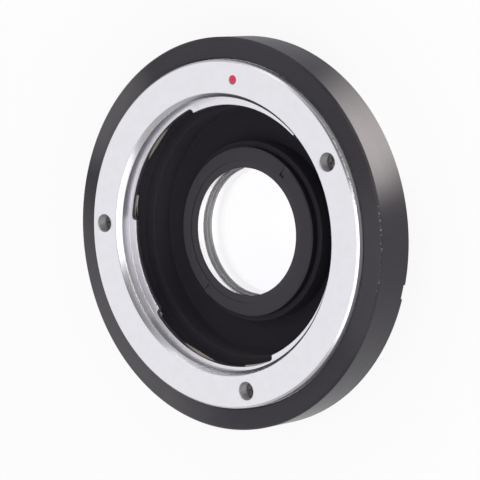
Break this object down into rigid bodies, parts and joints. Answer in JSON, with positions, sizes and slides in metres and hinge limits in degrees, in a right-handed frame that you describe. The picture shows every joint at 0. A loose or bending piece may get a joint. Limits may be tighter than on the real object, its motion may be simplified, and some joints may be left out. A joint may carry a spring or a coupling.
{
  "type": "lens mount adapter",
  "caption": "Round lens-to-camera mount adapter with a bright bayonet ring, a black body, a correction optic in a deep well and a rear bayonet.",
  "frame": {"origin": "on the optical axis, at the rear end of the camera bayonet's spigot, on which the adapter lies", "axes": "+Z along the optical axis towards the lens, +Y through the red index dot of the lens bayonet ring"},
  "size_m": [0.069, 0.069, 0.0144],
  "materials": {
    "black_anodised": "satin",
    "matte_black": "matte",
    "satin_chrome": "satin",
    "spring_bronze": "satin",
    "screw_steel": "satin",
    "red_enamel": "gloss",
    "optical_glass": "clear"
  },
  "bodies": {
    "root": {"body": "black_anodised", "lens_bayonet_ring": "satin_chrome", "ring_screw_1": "screw_steel", "ring_screw_2": "screw_steel", "ring_screw_3": "screw_steel", "leaf_spring_1": "spring_bronze", "leaf_spring_2": "spring_bronze", "leaf_spring_3": "spring_bronze", "rotation_stop_pin": "screw_steel", "lens_index_dot": "red_enamel", "camera_bayonet": "satin_chrome", "bayonet_screw_1": "screw_steel", "bayonet_screw_2": "screw_steel", "bayonet_screw_3": "screw_steel", "bayonet_screw_4": "screw_steel", "camera_index_dot": "red_enamel", "lens_cell": "matte_black", "front_retaining_ring": "matte_black", "rear_retaining_ring": "matte_black", "front_lens": "optical_glass", "rear_lens": "optical_glass"}
  },
  "joints": []
}
